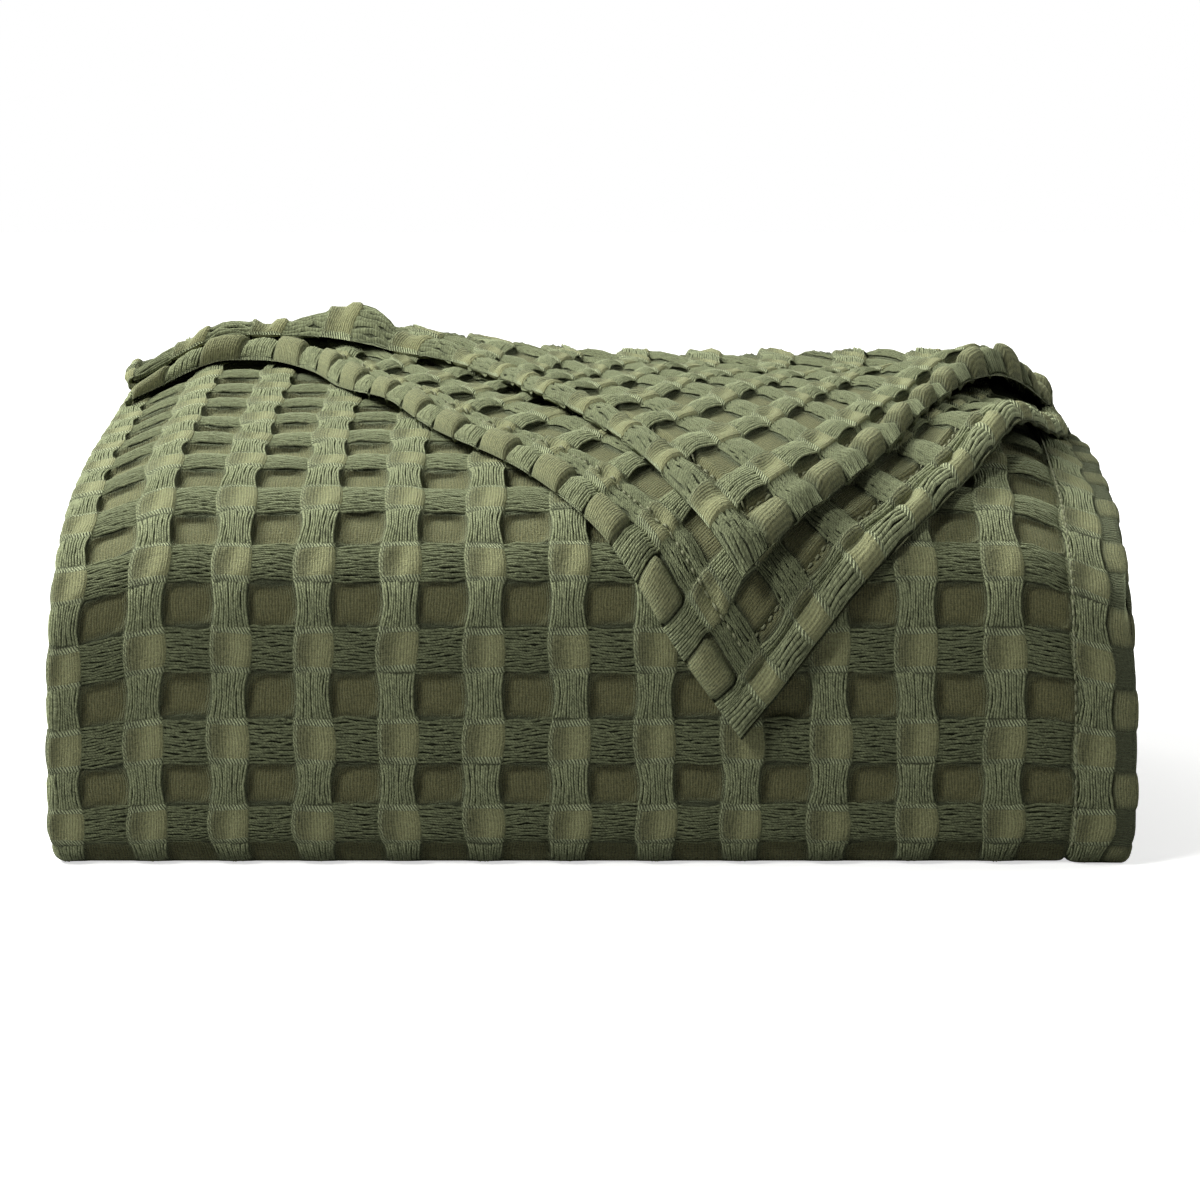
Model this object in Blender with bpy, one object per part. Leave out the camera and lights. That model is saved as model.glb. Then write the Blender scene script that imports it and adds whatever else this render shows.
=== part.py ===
"""Folded waffle weave cotton blanket.

The blanket is one hemmed panel.  It is doubled once, so that its left end is a fold and its
right end shows both side hems, and the doubled cloth is then folded back and forth.  The last
turn wraps the bundle: under it, up the front and over the top.  The free end comes forward
again over the top, and its two hemmed corners hang down the front.

Depth runs from the upright front to the back, height from the surface it lies on, and a place
on the wrap is given by the way along its outer face and a lift off that face.
"""

import math

import bpy
import bmesh
import numpy as np

# Driving dimensions, in metres.
WIDTH = 0.396            # between the left fold and the right hems, without the left fold's bulge
PLY = 0.0044             # thickness of the cloth, from the crest of its weave to the other crest
PLY_GAP = 0.0013         # space between the two plies of the doubled cloth
REAR = 0.288             # depth of the middle of the rearmost turns
PASSES = 11              # inner passes of the doubled cloth, between the wrap's bottom and top
FLAP_SPANS = 20          # columns of faces across each ply of the flap
HAIRPIN_STEPS = 3        # columns of faces round the left fold
TURN_STEPS = 4           # rows of faces round each turn of the doubled cloth
FLAP_ROWS = 16           # rows of faces along the flap
PASS_ROWS = 2            # rows of points across each inner pass, between its turns
ARCHED_PASS = 8          # the first inner pass that bends enough to need more of them
ARCHED_ROWS = 5

FOLD_COURSE = 0.02       # the left fold's share of a course across both plies
SPACING = PLY + PLY_GAP              # between the middles of the two plies
DOUBLED = 2 * PLY + PLY_GAP          # thickness of the doubled cloth
CLEARANCE = 0.0012                   # between the wrap and what it wraps

# Outer face of the wrap, from its lower front edge up and over the top.
# length of a straight run or radius of a bend, degrees that it turns
OUTER_FACE = (
    (0.012, 90.0),       # lower front edge
    (0.082, 0.0),        # upright front
    (0.036, 50.0),       # shoulder
    (0.090, 21.0),
    (0.190, 9.0),
    (0.600, 6.5),        # gentle arch of the top
    (0.170, 0.0),        # top, rising a little to the back
)
REAR_WAY = 0.413                     # way along the outer face where the wrap turns into the flap
FLAP_CLEARANCE = 0.0016              # between the wrap and the flap, at their rear turn
FLAT_SAG = 0.013                     # most that the inner passes dip with the wrap's arch
WRAP_WAYS = (0.368, 0.321, 0.273, 0.233, 0.197, 0.169, 0.148, 0.131, 0.117, 0.103, 0.073, 0.043,
             0.0188, 0.0126, 0.0063, 0.0)
UNDERSIDE_DEPTHS = (0.100, 0.195)    # rows of points under the bundle
COLUMNS = (0.0, 0.05, 0.11, 0.24, 0.35, 0.47, 0.89, 0.95, 1.0)   # shares of the width with a row of points

# How much further forward than REAR each rear turn stops, from the lowest to the highest.
REAR_SETBACKS = (0.000, 0.007, 0.002, 0.005, 0.001, 0.008)

# Edges of the flap's plies, each drawn on the wrap's outer face.
# share of the edge, x, way along the outer face
LOWER_END = (
    (0.00, -0.197, 0.287), (0.05, -0.187, 0.328), (0.10, -0.167, 0.364), (0.16, -0.146, 0.375),
    (0.22, -0.126, 0.357), (0.30, -0.105, 0.308), (0.38, -0.083, 0.262), (0.47, -0.060, 0.212),
    (0.57, -0.030, 0.172), (0.68, -0.007, 0.141), (0.79, 0.014, 0.113), (0.90, 0.032, 0.084),
    (1.00, 0.053, 0.055),
)
UPPER_END = (
    (0.00, -0.197, 0.287), (0.05, -0.187, 0.328), (0.10, -0.164, 0.364), (0.16, -0.144, 0.376),
    (0.24, -0.117, 0.378), (0.33, -0.088, 0.375), (0.42, -0.062, 0.357), (0.52, -0.038, 0.303),
    (0.62, -0.020, 0.242), (0.73, -0.003, 0.212), (0.83, 0.017, 0.170), (0.92, 0.035, 0.137),
    (1.00, 0.053, 0.112),
)
# x, way along the outer face
LOWER_SIDE = (
    (0.198, 0.413), (0.195, 0.325), (0.187, 0.257), (0.166, 0.207), (0.143, 0.165),
    (0.118, 0.132), (0.091, 0.103), (0.070, 0.076), (0.053, 0.055),
)
UPPER_SIDE = (
    (0.198, 0.413), (0.191, 0.356), (0.177, 0.308), (0.152, 0.270), (0.131, 0.220),
    (0.104, 0.163), (0.075, 0.131), (0.053, 0.112),
)

# Where the flap's plies stand off what is under them.
# x, way along the outer face, reach, height
LOWER_LIFTS = (
    (0.160, 0.203, 0.036, 0.0090),   # hollow under the right side
    (0.054, 0.053, 0.026, 0.0035),   # corner
    (-0.150, 0.372, 0.036, 0.0045),  # end hem on the back left edge
    (-0.085, 0.265, 0.024, 0.0020),
    (0.000, 0.133, 0.022, 0.0015),
)
UPPER_LIFTS = (
    (-0.100, 0.378, 0.034, 0.0130),  # hump at the left
    (0.166, 0.293, 0.042, 0.0120),   # loose right side
    (0.053, 0.111, 0.024, 0.0040),   # corner
    (-0.020, 0.239, 0.024, 0.0020),
    (0.060, 0.153, 0.050, 0.0015),   # over the shoulder
)
LIFT_FADE = 0.030                    # way from the rear turn over which the lifts come in

# The bundle is lower at its back right than at its back left.
BACK_DROP = 0.076                    # share of the height
BACK_DROP_X = (-0.130, -0.010)
BACK_DROP_DEPTH = (0.120, 0.275)

# The ends are drawn in at the very bottom and towards the top, and their top edges are rounded.
END_TUCK = 0.012                     # share of the width
END_TUCK_HEIGHT = 0.016
END_TAPER = 0.018                    # share of the width
END_TAPER_HEIGHTS = (0.050, 0.150)
LEFT_ROUND = 0.120                   # share of the height
RIGHT_ROUND = 0.100
ROUND_X = (0.156, 0.202)

FOOTPRINT_MIDDLE = (-0.0022, 0.1427) # x and depth of the origin

COTTON = (0.130, 0.137, 0.068, 1.0)


def smooth_step(value, low, high):
    share = min(max((value - low) / (high - low), 0.0), 1.0)
    return share * share * (3.0 - 2.0 * share)


def outer_face_samples():
    """Way, depth, height and heading along the wrap's outer face, about every millimetre."""
    way, depth, height, heading = 0.0, OUTER_FACE[0][0], 0.0, math.pi
    samples = [(way, depth, height, heading)]
    for size, degrees in OUTER_FACE:
        turn = math.radians(degrees)
        length = size * turn if degrees else size
        steps = max(2, round(length / 0.001))
        for _ in range(steps):
            middle = heading - turn / steps / 2
            depth += length / steps * math.cos(middle)
            height += length / steps * math.sin(middle)
            heading -= turn / steps
            way += length / steps
            samples.append((way, depth, height, heading))
    return np.array(samples)


FACE = outer_face_samples()


def face_point(way, lift):
    """Depth and height of a point off the wrap's outer face."""
    depth, height, heading = (np.interp(way, FACE[:, 0], FACE[:, k]) for k in (1, 2, 3))
    return depth - lift * math.sin(heading), height + lift * math.cos(heading)


def face_height(depth):
    """Height of the top of the wrap at a depth."""
    top = FACE[FACE[:, 2] > OUTER_FACE[1][0] + OUTER_FACE[0][0] - 0.0001]
    return float(np.interp(depth, top[:, 1], top[:, 2]))


def face_distance(depth, height):
    return float(np.hypot(FACE[:, 1] - depth, FACE[:, 2] - height).min())


def pass_height(index, depth):
    """Height of the middle of an inner pass; the upper passes follow the wrap's arch.

    Pass -1 is the bottom of the wrap."""
    peak = face_height(REAR - 0.010)
    share = (index + 1) / PASSES
    level = DOUBLED / 2 + share * (peak - 2 * DOUBLED - 1.5 * CLEARANCE)
    return level - share * min(peak - face_height(depth), FLAT_SAG)


def turn_depth(index):
    """Depth of the turn that comes before an inner pass: even ones are at the rear.

    A front turn comes as near to the wrap's inner face as its clearance lets it."""
    if index % 2 == 0 and index < PASSES:
        return REAR - REAR_SETBACKS[index // 2]
    depth = REAR / 2
    while True:
        low, high = pass_height(index - 1, depth), pass_height(min(index, PASSES - 1), depth)
        reach = (high - low) / 2 + DOUBLED / 2
        if face_distance(depth, (low + high) / 2) < reach + CLEARANCE + DOUBLED:
            return depth
        depth -= 0.0005


def turn_rows(depth, low, high, side):
    """Half circle from one height up to another, bulging to the front (-1) or the rear (+1)."""
    radius = (high - low) / 2
    rows = []
    for step in range(TURN_STEPS + 1):
        angle = math.pi * step / TURN_STEPS
        heading = angle if side > 0 else math.pi - angle
        rows.append((depth + side * radius * math.sin(angle),
                     low + radius * (1 - math.cos(angle)), heading))
    return rows


def flap_turn_rows():
    """The rear turn between the flap and the top of the wrap."""
    radius = (DOUBLED + FLAP_CLEARANCE) / 2
    rows = []
    for step in range(TURN_STEPS + 1):
        angle = math.pi * step / TURN_STEPS
        lift = radius * (1 + math.cos(angle)) - DOUBLED / 2
        place = face_point(REAR_WAY + radius * math.sin(angle), lift)
        rows.append((*place, FACE[-1, 3] - angle))
    return rows


def wrap_rows():
    """Over the top, down the front and back under the bundle."""
    rows = []
    for way in WRAP_WAYS:
        heading = float(np.interp(way, FACE[:, 0], FACE[:, 3])) - math.pi
        rows.append((*face_point(way, -DOUBLED / 2), heading))
    rows += [(depth, DOUBLED / 2, 0.0) for depth in UNDERSIDE_DEPTHS]
    return rows


def inner_rows():
    """The inner passes, each with the turn before it."""
    rows = []
    for index in range(PASSES):
        start, end = turn_depth(index), turn_depth(index + 1)
        side = 1 if index % 2 == 0 else -1
        rows += turn_rows(start, pass_height(index - 1, start), pass_height(index, start), side)
        count = ARCHED_ROWS if index >= ARCHED_PASS else PASS_ROWS
        last = index == PASSES - 1
        for step in range(1, count + (2 if last else 1)):
            depth = start + (end - start) * step / (count + 1)
            rise = pass_height(index, depth + 0.002) - pass_height(index, depth - 0.002)
            heading = math.atan2(rise, 0.004) + (math.pi if side > 0 else 0.0)
            rows.append((depth, pass_height(index, depth), heading))
    return rows


def strip_section(row):
    """Section of the doubled cloth across one row of its middle line."""
    depth, height, heading = row
    out = np.array((0.0, math.sin(heading), -math.cos(heading)))
    middle = np.array((0.0, depth, height))
    xs = [WIDTH * (share - 0.5) for share in COLUMNS]
    outer = [middle + np.array((x, 0.0, 0.0)) + out * SPACING / 2 for x in xs]
    inner = [middle + np.array((x, 0.0, 0.0)) - out * SPACING / 2 for x in xs]
    return section(COLUMNS, outer, inner, [out] * len(xs), [-out] * len(xs))


def section(shares, outer, inner, outer_normals, inner_normals):
    """Outline of the doubled cloth: a line of points on its outside and one on its inside.

    Both run from the outer ply's hem at the right to the left fold, round it, and back to the
    inner ply's hem.  Each ply is given from the fold to its hem.  The first list returned tells
    how far along that course each point is."""
    middle, half = (outer[0] + inner[0]) / 2, (outer[0] - inner[0]) / 2
    radius = np.linalg.norm(half)
    course = [-share for share in shares[::-1]]
    points, normals = outer[::-1], outer_normals[::-1]
    for step in range(1, HAIRPIN_STEPS):
        angle = math.pi * step / HAIRPIN_STEPS
        normal = half / radius * math.cos(angle) - np.array((math.sin(angle), 0.0, 0.0))
        course.append(step / HAIRPIN_STEPS * FOLD_COURSE)
        points, normals = points + [middle + normal * radius], normals + [normal]
    course += [FOLD_COURSE + share for share in shares]
    points, normals = points + inner, normals + inner_normals
    return (course, [settled(p + n * PLY / 2) for p, n in zip(points, normals)],
            [settled(p - n * PLY / 2) for p, n in zip(points, normals)])


def smooth_edge(table, share):
    """Place on an edge drawn by a table of shares, x and ways, eased through its rows."""
    rows = np.array(table)
    after = int(np.clip(np.searchsorted(rows[:, 0], share), 1, len(rows) - 1))
    p1, p2 = rows[after - 1], rows[after]
    p0, p3 = rows[max(after - 2, 0)], rows[min(after + 1, len(rows) - 1)]
    u = (share - p1[0]) / (p2[0] - p1[0])
    gap = p2[0] - p1[0]
    m1 = (p2 - p0)[1:] / max(p2[0] - p0[0], 1e-9) * gap
    m2 = (p3 - p1)[1:] / max(p3[0] - p1[0], 1e-9) * gap
    return ((2 * u**3 - 3 * u**2 + 1) * p1[1:] + (u**3 - 2 * u**2 + u) * m1
            + (3 * u**2 - 2 * u**3) * p2[1:] + (u**3 - u**2) * m2)


def flap_place(end, side, across_share, along_share):
    """x and way of a point of a flap ply, from its four edges.

    across_share runs from the left fold to the side hem, along_share from the rear turn to the
    end hem."""
    c, v = across_share, along_share
    rear = np.array((WIDTH * (c - 0.5), REAR_WAY))
    corners = [np.array((-WIDTH / 2, REAR_WAY)), np.array((WIDTH / 2, REAR_WAY)),
               smooth_edge(end, 0.0), smooth_edge(end, 1.0)]
    left = corners[0] + (corners[2] - corners[0]) * v
    flat = ((1 - c) * (1 - v) * corners[0] + c * (1 - v) * corners[1]
            + (1 - c) * v * corners[2] + c * v * corners[3])
    return ((1 - v) * rear + v * smooth_edge(end, c) + (1 - c) * left
            + c * smooth_edge(side_shares(side), v) - flat)


def side_shares(side):
    """A side edge's table with a share in front, in step with the way."""
    length = REAR_WAY - side[-1][1]
    return [((REAR_WAY - way) / length, x, way) for x, way in side]


def lift_at(x, way, lifts):
    total = 0.0
    for place_x, place_way, reach, height in lifts:
        distance = math.hypot(x - place_x, way - place_way) / reach
        total += height * math.exp(-distance * distance)
    return total * smooth_step(REAR_WAY - way, 0.0, LIFT_FADE)


def flap_section(along_share):
    """Section across the flap, whose lower ply is the outer ply of the doubled cloth."""
    shares = [column / FLAP_SPANS for column in range(FLAP_SPANS + 1)]
    plies, normals = ([], []), ([], [])
    for upper, end, side in ((0, LOWER_END, LOWER_SIDE), (1, UPPER_END, UPPER_SIDE)):
        for share in shares:
            x, way = flap_place(end, side, share, along_share)
            lift = PLY / 2 + FLAP_CLEARANCE + lift_at(x, way, LOWER_LIFTS)
            lift += upper * (SPACING + lift_at(x, way, UPPER_LIFTS))
            foot, top = np.array(face_point(way, 0.0)), np.array(face_point(way, lift))
            plies[upper].append(np.array((x, *top)))
            normals[upper].append(np.array((0.0, *(top - foot))) / lift * (2 * upper - 1))
    return section(shares, *plies, *normals)


def settled(point):
    """The bundle's own unevenness, worked on every point alike, with the origin in the middle of
    what it covers."""
    x, depth, height = point
    drop = BACK_DROP * smooth_step(x, *BACK_DROP_X) * smooth_step(depth, *BACK_DROP_DEPTH)
    drop += (RIGHT_ROUND if x > 0 else LEFT_ROUND) * smooth_step(abs(x), *ROUND_X)
    tuck = END_TUCK * smooth_step(END_TUCK_HEIGHT - height, 0.0, END_TUCK_HEIGHT)
    tuck += END_TAPER * smooth_step(height, *END_TAPER_HEIGHTS)
    return (x * (1 - tuck) - FOOTPRINT_MIDDLE[0], depth - FOOTPRINT_MIDDLE[1],
            height * (1 - drop))


def first_diagonal_fits(a, b, c, d):
    """Whether a face of the grid is cut from a to c, or else from b to d.

    No cut folds the face over.  Otherwise it takes the shorter diagonal, and where they are
    alike the one that climbs to the right and to the back, in every ply and pass, so that plies
    that lie close together bend alike."""
    a, b, c, d = (corner.co for corner in (a, b, c, d))
    first, second = c - a, d - b
    if (b - a).cross(first).dot(first.cross(d - a)) <= 0:
        return False
    if (c - b).cross(second).dot(second.cross(a - b)) <= 0:
        return True
    if abs(first.length - second.length) < 0.1 * first.length:
        return first.x * (first.y + first.z) > second.x * (second.y + second.z)
    return first.length < second.length


def bridge(solid, near, far, near_course, far_course):
    """Triangles between two rows of points that may be unlike in number."""
    i = j = 0
    while i < len(near) - 1 or j < len(far) - 1:
        if len(near) == len(far):
            corners = near[i], near[i + 1], far[j + 1], far[j]
            if first_diagonal_fits(*corners):
                solid.faces.new((corners[0], corners[1], corners[2]))
                solid.faces.new((corners[0], corners[2], corners[3]))
            else:
                solid.faces.new((corners[0], corners[1], corners[3]))
                solid.faces.new((corners[1], corners[2], corners[3]))
            i, j = i + 1, j + 1
        elif j == len(far) - 1 or i < len(near) - 1 and near_course[i + 1] < far_course[j + 1]:
            solid.faces.new((near[i], near[i + 1], far[j]))
            i += 1
        else:
            solid.faces.new((near[i], far[j + 1], far[j]))
            j += 1


def build_blanket(collection):
    """A loft through the sections, closed along both hems and at both ends."""
    sections = [flap_section(1 - step / FLAP_ROWS) for step in range(FLAP_ROWS)]
    sections += [strip_section(row) for row in flap_turn_rows() + wrap_rows() + inner_rows()]
    solid = bmesh.new()
    rows = []
    for course, outside, inside in sections:
        rows.append((course, [solid.verts.new(point) for point in outside],
                     [solid.verts.new(point) for point in inside]))
    for (near_course, near_out, near_in), (far_course, far_out, far_in) in zip(rows, rows[1:]):
        bridge(solid, near_out, far_out, near_course, far_course)
        bridge(solid, near_in, far_in, near_course, far_course)
        for hem in (0, -1):
            bridge(solid, [near_out[hem], near_in[hem]], [far_out[hem], far_in[hem]], (), ())
    for _, outside, inside in (rows[0], rows[-1]):
        bridge(solid, outside, inside, (), ())
    bmesh.ops.recalc_face_normals(solid, faces=solid.faces)
    mesh = bpy.data.meshes.new("blanket")
    solid.to_mesh(mesh)
    solid.free()
    mesh.materials.append(cotton())
    mesh.shade_smooth()
    mesh.set_sharp_from_angle(angle=math.radians(50))
    blanket = bpy.data.objects.new("blanket", mesh)
    collection.objects.link(blanket)
    return blanket


def cotton():
    material = bpy.data.materials.new("cotton")
    material.use_nodes = True
    surface = material.node_tree.nodes["Principled BSDF"]
    surface.inputs["Base Color"].default_value = COTTON
    surface.inputs["Roughness"].default_value = 0.95
    surface.inputs["Metallic"].default_value = 0.0
    return material


for leftover in list(bpy.data.objects):
    bpy.data.objects.remove(leftover)
group = bpy.data.collections.new("folded waffle blanket")
bpy.context.scene.collection.children.link(group)
build_blanket(group)
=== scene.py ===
"""A folded waffle weave cotton blanket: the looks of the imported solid.

The cloth is one hemmed panel, doubled once and folded back and forth.  Its last turn wraps the
bundle, and the free end comes forward over the top and hangs down the front by two corners.
"""

import math

import bpy
import numpy as np
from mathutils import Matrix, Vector


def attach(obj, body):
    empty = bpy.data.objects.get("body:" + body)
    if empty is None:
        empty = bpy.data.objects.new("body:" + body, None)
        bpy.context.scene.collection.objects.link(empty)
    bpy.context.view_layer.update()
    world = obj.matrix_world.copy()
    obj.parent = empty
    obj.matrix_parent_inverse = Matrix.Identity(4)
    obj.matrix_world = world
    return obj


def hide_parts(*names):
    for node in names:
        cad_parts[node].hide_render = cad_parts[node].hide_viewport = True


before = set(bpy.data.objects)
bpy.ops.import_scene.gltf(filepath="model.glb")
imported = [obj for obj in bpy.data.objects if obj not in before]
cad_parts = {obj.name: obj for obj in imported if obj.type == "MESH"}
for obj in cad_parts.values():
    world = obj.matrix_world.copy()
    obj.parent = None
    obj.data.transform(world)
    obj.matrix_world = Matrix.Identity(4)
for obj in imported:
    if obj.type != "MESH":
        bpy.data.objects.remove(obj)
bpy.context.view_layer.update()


# The wrap: the last turn of the doubled cloth, over the top of the bundle, down its front, back
# under it and round its lowest rear turn.  Cotton double cloth, woven in a waffle of sunk and
# raised squares, with long floats of yarn between them.  Its right end is a stitched side hem.

WIDTH = 0.396            # between the left fold and the right hems, without the left fold's bulge
PLY = 0.0044             # thickness of the cloth, from the crest of its weave to the other crest
PLY_GAP = 0.0013
SPACING = PLY + PLY_GAP              # between the middles of the two plies
DOUBLED = 2 * PLY + PLY_GAP
CLEARANCE = 0.0012                   # between the wrap and what it wraps
REAR = 0.288                         # depth of the middle of the rearmost turns
MIDDLE = 0.1427                      # depth of the bundle's middle, from its front
REAR_WAY = 0.413                     # way along the outer face where the wrap turns into the flap
ROW_ONE = 0.0451                     # way along the outer face at the first repeat of the weave
PASSES = 11                          # layers of doubled cloth inside the wrap

# Outer face of the wrap, from its lower front edge up and over the top: length of a straight
# run or radius of a bend, and the degrees that it turns
OUTER_FACE = ((0.012, 90.0), (0.082, 0.0), (0.036, 50.0), (0.090, 21.0), (0.190, 9.0),
              (0.600, 6.5), (0.170, 0.0))

heading = math.pi
face_line = [(0.0, OUTER_FACE[0][0], 0.0, heading)]
for size, degrees in OUTER_FACE:
    turn = math.radians(degrees)
    length = size * turn if degrees else size
    steps = max(2, round(length / 0.001))
    for _ in range(steps):
        way, depth, height, heading = face_line[-1]
        middle = heading - turn / steps / 2
        face_line.append((way + length / steps, depth + length / steps * math.cos(middle),
                          height + length / steps * math.sin(middle), heading - turn / steps))
face_line = np.array(face_line)


def on_face(way, lift):
    """Depth and height at a lift off the wrap's outer face."""
    depth, height, heading = (np.interp(way, face_line[:, 0], face_line[:, k]) for k in (1, 2, 3))
    return depth - lift * np.sin(heading), height + lift * np.cos(heading)


def ease(value, low, high):
    share = np.clip((value - low) / (high - low), 0.0, 1.0)
    return share * share * (3.0 - 2.0 * share)


def settled(x, depth, height):
    """The bundle's own unevenness: lower at its back right, its ends rounded and drawn in."""
    drop = 0.062 * ease(x, -0.100, 0.010) * ease(depth, 0.120, 0.275)
    drop = drop + np.where(x > 0, 0.100, 0.088) * ease(np.abs(x), 0.156, 0.202)
    tuck = 0.012 * ease(0.016 - height, 0.0, 0.016) + 0.018 * ease(height, 0.050, 0.150)
    return np.stack(np.broadcast_arrays(x * (1 - tuck) + 0.0022, depth - MIDDLE,
                                        height * (1 - drop)), axis=-1)


# The weave's repeat is a sunk square and a raised one with the floats between them.
SUNK_ACROSS = 0.54                   # the sunk squares' share of the repeat across
SUNK_ALONG = 0.49                    # and along
REPEAT_ACROSS, REPEAT_ALONG = 0.0309, 0.0340
SIDE_EDGE = 12.27                    # repeats at the side hem's edge, counted from the left fold
PIT, SHALLOW = 0.0044, 0.0009        # depth of the sunk squares, and of the level floats
FLOAT_YARN = 0.0007                  # thickness of the loose yarns
cell_luck = np.random.default_rng(11).random((4, 64, 64))


def luck(which, across, along):
    """A number from 0 to 1 that belongs to a repeat of the weave."""
    return cell_luck[which, np.floor(across).astype(int) % 64, np.floor(along).astype(int) % 64]


def weave_depth(across, along, filled=0.0, pit=PIT, loose=0.0, slack=1.0):
    """How far the cloth's face lies below its crest, at a place in repeats of the weave.

    Where a hem fills it from behind, the sunk squares bulge instead.  Under loose yarns the
    ground of the floats lies a yarn's thickness deeper.  Slack cloth is puffed up more."""
    a = ((across - SUNK_ACROSS / 2 + 0.5) % 1.0 - 0.5) * REPEAT_ACROSS
    b = ((along + SUNK_ALONG / 2 + 0.5) % 1.0 - 0.5) * REPEAT_ALONG
    half_a, half_b = SUNK_ACROSS / 2 * REPEAT_ACROSS, SUNK_ALONG / 2 * REPEAT_ALONG
    in_column = ease(half_a - np.abs(a), -0.0007, 0.0007)
    in_row = ease(half_b - np.abs(b), -0.0007, 0.0007)
    # the raised square, puffed up from its edges
    c, d = np.abs(a) - half_a, np.abs(b) - half_b
    inward = np.minimum(c, d) - 0.0010 * np.exp(-((c - d) / 0.0030) ** 2)
    puff = 1 - (1 - np.clip(inward / 0.0034, 0, 1)) ** 2
    raised = 0.0011 - (0.0008 + 0.0004 * luck(0, across + 0.2, along)) * puff
    from_left = (across % 1.0 - SUNK_ACROSS) / (1 - SUNK_ACROSS)
    raised = raised + (0.0012 + 0.0010 * luck(3, across + 0.2, along)) * np.exp(
        -((from_left - 0.42) / 0.24) ** 2) * ease(inward, 0.0012, 0.0055)
    # upright floats are a bridge between two sunk squares, level floats one between two raised
    bridge = 1 - np.clip(c / (REPEAT_ACROSS / 2 - half_a), 0, 1)
    upright = 0.0004 + 0.0009 * bridge ** 2 + 0.0005 * np.exp(-((half_b - np.abs(b)) / 0.0011) ** 2)
    band = 1 - np.clip(d / (REPEAT_ALONG / 2 - half_b), 0, 1)
    level = (SHALLOW + (0.0006 * luck(1, across, along) - 0.0002)) + 0.0013 * band ** 2
    level = level + 0.0005 * np.exp(-((half_a - np.abs(a)) / 0.0012) ** 2)
    under = loose * FLOAT_YARN
    upright, level = upright + under * ease(half_b - np.abs(b), 0.0004, 0.0018), level + under
    # the sunk square has rounded corners and steep sides
    corner = 0.0052
    e, f = np.abs(a) - (half_a - corner), np.abs(b) - (half_b - corner)
    outside = np.hypot(np.maximum(e, 0), np.maximum(f, 0)) + np.minimum(np.maximum(e, f), 0)
    sunk = ease(corner - outside, -0.0005, 0.0013)
    floor = pit - 0.0004 * ease(corner - outside, 0.001, 0.007) + 0.0004 * luck(2, across, along)
    bulge = 0.0018 * (1 - ease(corner - outside, -0.0003, 0.0035)) - 0.0006
    lattice = ((1 - in_column) * ((1 - in_row) * raised + in_row * upright)
               + in_column * ((1 - in_row) * level + in_row * 0.5 * (upright + level)))
    lattice = lattice * slack
    deep = lattice + sunk * (floor - lattice)
    plump = lattice + 0.0004 + sunk * (bulge - lattice - 0.0004)
    return deep + filled * (plump - deep)


def weave_lines(low, high, edge, fine):
    """Where the mesh has a line across or along the cloth: close together at the cells' edges."""
    near = np.array((-0.055, -0.030, -0.010, 0.012, 0.036, 0.080) if fine else (-0.045, -0.010, 0.030))
    spread = (0.22, 0.5, 0.78) if fine else (0.5,)
    lines = []
    for repeat in range(math.floor(low) - 1, math.ceil(high) + 1):
        for start, end in ((repeat, repeat + edge), (repeat + edge, repeat + 1)):
            flip = 1 if start == repeat else -1
            lines += list(start + (near if flip > 0 else -near[::-1]))
            room = (start + near.max() + 0.01, end - near.max() - 0.01)
            lines += [room[0] + (room[1] - room[0]) * share for share in spread]
    lines = sorted(line for line in lines if low + 0.012 < line < high - 0.012)
    return np.array([low, *lines, high])


def wobble(across, along):
    """Small drift of the yarns, in metres across and along; the sunk squares are the widest."""
    swell = np.cos(2 * np.pi * (along + SUNK_ALONG / 2))
    over = 0.0010 * swell * np.sin(2 * np.pi * (across - SUNK_ACROSS / 2))
    over = over + 0.0004 * (np.sin(1.7 * along + 2.1 * across) + np.sin(4.3 * along - 1.1 * across))
    up = 0.0004 * (np.sin(2.3 * across + 0.9 * along) + np.sin(5.1 * across - 1.3 * along))
    return over, up


def mesh_piece(name, points, triangles, weave, **shares):
    """A smooth mesh whose weave map holds the place in repeats.

    shares: for each point, how far it is "loose" (under loose yarns) or "filled" (in a hem)."""
    mesh = bpy.data.meshes.new(name)
    mesh.vertices.add(len(points))
    mesh.vertices.foreach_set("co", points.astype(np.float32).ravel())
    mesh.loops.add(triangles.size)
    mesh.loops.foreach_set("vertex_index", triangles.astype(np.int32).ravel())
    mesh.polygons.add(len(triangles))
    mesh.polygons.foreach_set("loop_start", np.arange(len(triangles), dtype=np.int32) * 3)
    mesh.update(calc_edges=True)
    mesh.shade_smooth()
    place = mesh.uv_layers.new(name="weave")
    place.data.foreach_set("uv", weave[triangles.ravel()].astype(np.float32).ravel())
    for label, share in shares.items():
        share = np.broadcast_to(share, len(points)).astype(np.float32)
        mesh.attributes.new(label, "FLOAT", "POINT").data.foreach_set("value", share)
    piece = bpy.data.objects.new(name, mesh)
    bpy.context.scene.collection.objects.link(piece)
    return piece


def grid_triangles(rows, columns, start=0):
    """Two triangles for each cell of a grid of points, row after row."""
    corner = (np.arange(rows - 1)[:, None] * columns + np.arange(columns - 1)[None]).ravel() + start
    a, b, c, d = corner, corner + 1, corner + columns + 1, corner + columns
    return np.concatenate((np.stack((a, b, c), 1), np.stack((a, c, d), 1)))


def across_at(repeats):
    """x at a number of repeats: they grow a little wider to the right."""
    return -0.1891 + 0.03062 * repeats + 0.0000764 * repeats ** 2


LEFT_BEND = (across_at(0.0) + WIDTH / 2) / REPEAT_ACROSS       # repeats beside the left fold


def at_side_hem(x):
    """How much of the weave's depth is left towards the side hem, and how far the hem fills it."""
    return 1 - 0.6 * ease(x, 0.178, 0.195), 0.8 * ease(x, 0.173, 0.188)


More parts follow.
